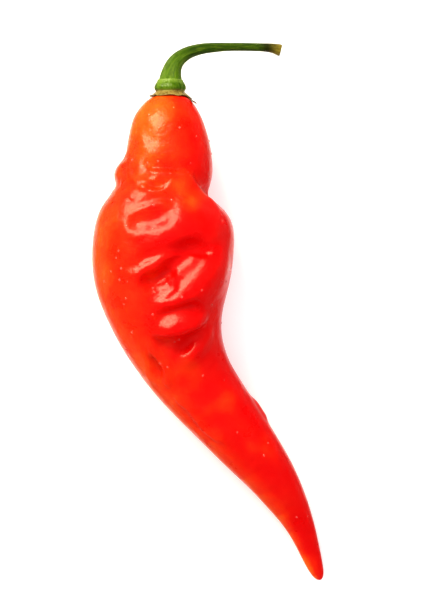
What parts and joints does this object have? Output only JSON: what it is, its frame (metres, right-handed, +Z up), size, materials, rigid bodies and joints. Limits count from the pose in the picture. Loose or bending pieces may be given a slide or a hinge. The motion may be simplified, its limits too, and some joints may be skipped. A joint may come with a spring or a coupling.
{
  "type": "chilli pepper",
  "caption": "Ripe red chilli pepper lying on its side: a glossy wrinkled pod that curves to a thin tail, with a green calyx and a hooked stem.",
  "frame": {"origin": "on the surface that the pepper lies on, under the middle of its outline", "axes": "+Y from the pod's tip towards the stem, +X to the right seen from above with the stem away, +Z up"},
  "size_m": [0.0366, 0.0861, 0.0179],
  "materials": {
    "pod_skin": "glossy waxy red skin, orange where it is less ripe",
    "calyx_green": "satin green collar with a dried olive-brown skirt",
    "dry_sepal": "dry grey-brown husk",
    "water": "clear drops of rinsing water on the skin",
    "stem_green": "satin green stalk, brown and woody at its cut end"
  },
  "bodies": {
    "root": {"pod": "pod_skin", "calyx": "calyx_green", "stem": "stem_green"}
  },
  "joints": []
}
